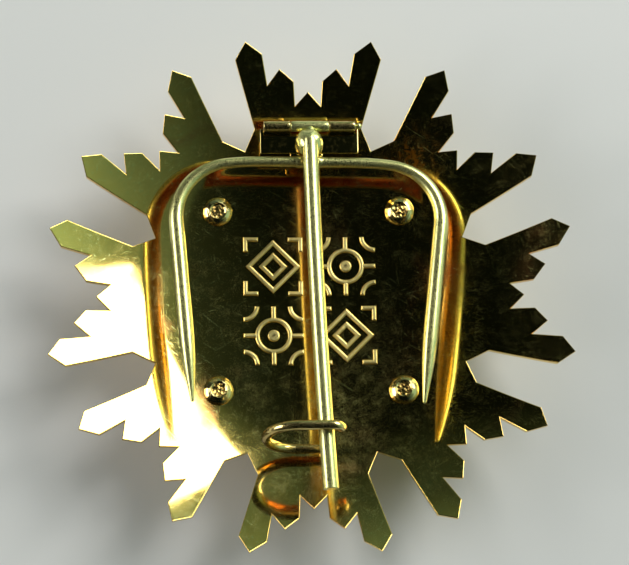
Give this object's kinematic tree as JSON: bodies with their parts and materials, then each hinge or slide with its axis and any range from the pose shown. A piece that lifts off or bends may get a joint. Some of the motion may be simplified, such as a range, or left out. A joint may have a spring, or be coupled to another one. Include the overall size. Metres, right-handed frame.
{
  "type": "order breast star, back side up",
  "caption": "Gilt breast star of an order lying face down: dished rayed plate with rivets, side hooks, a hinged pin and a wire catch on its back.",
  "frame": {"origin": "middle of the star on the surface that it rests on, under the front rim", "axes": "+Z out of the star's back, +Y towards the hinge of the pin, +X to the right as the back is seen"},
  "size_m": [0.0874, 0.0874, 0.0222],
  "materials": {
    "gilt_plate": "polished gilding with fine scratches",
    "gilt_ornament": "matt raised lines",
    "rivet_metal": "polished",
    "gilt_wire": "polished gilding",
    "gilt_front": "polished gilding"
  },
  "bodies": {
    "star": {"star_plate": "gilt_plate", "ornament_1": "gilt_ornament", "ornament_2": "gilt_ornament", "ornament_3": "gilt_ornament", "ornament_4": "gilt_ornament", "rivet_1": "rivet_metal", "rivet_2": "rivet_metal", "rivet_3": "rivet_metal", "rivet_4": "rivet_metal", "hinge_bracket": "gilt_plate", "hinge_wire": "gilt_wire", "side_hooks": "gilt_wire", "catch": "gilt_wire", "front_plate": "gilt_front", "front_boss": "gilt_front"},
    "pin_body": {"pin": "gilt_wire"}
  },
  "joints": [
    {"name": "pin_swing", "type": "hinge", "parent": "star", "child": "pin_body", "pos_m": [0, 0.0279, 0.0177], "axis": [-1, 0, 0], "range_deg": [0, 110]}
  ]
}
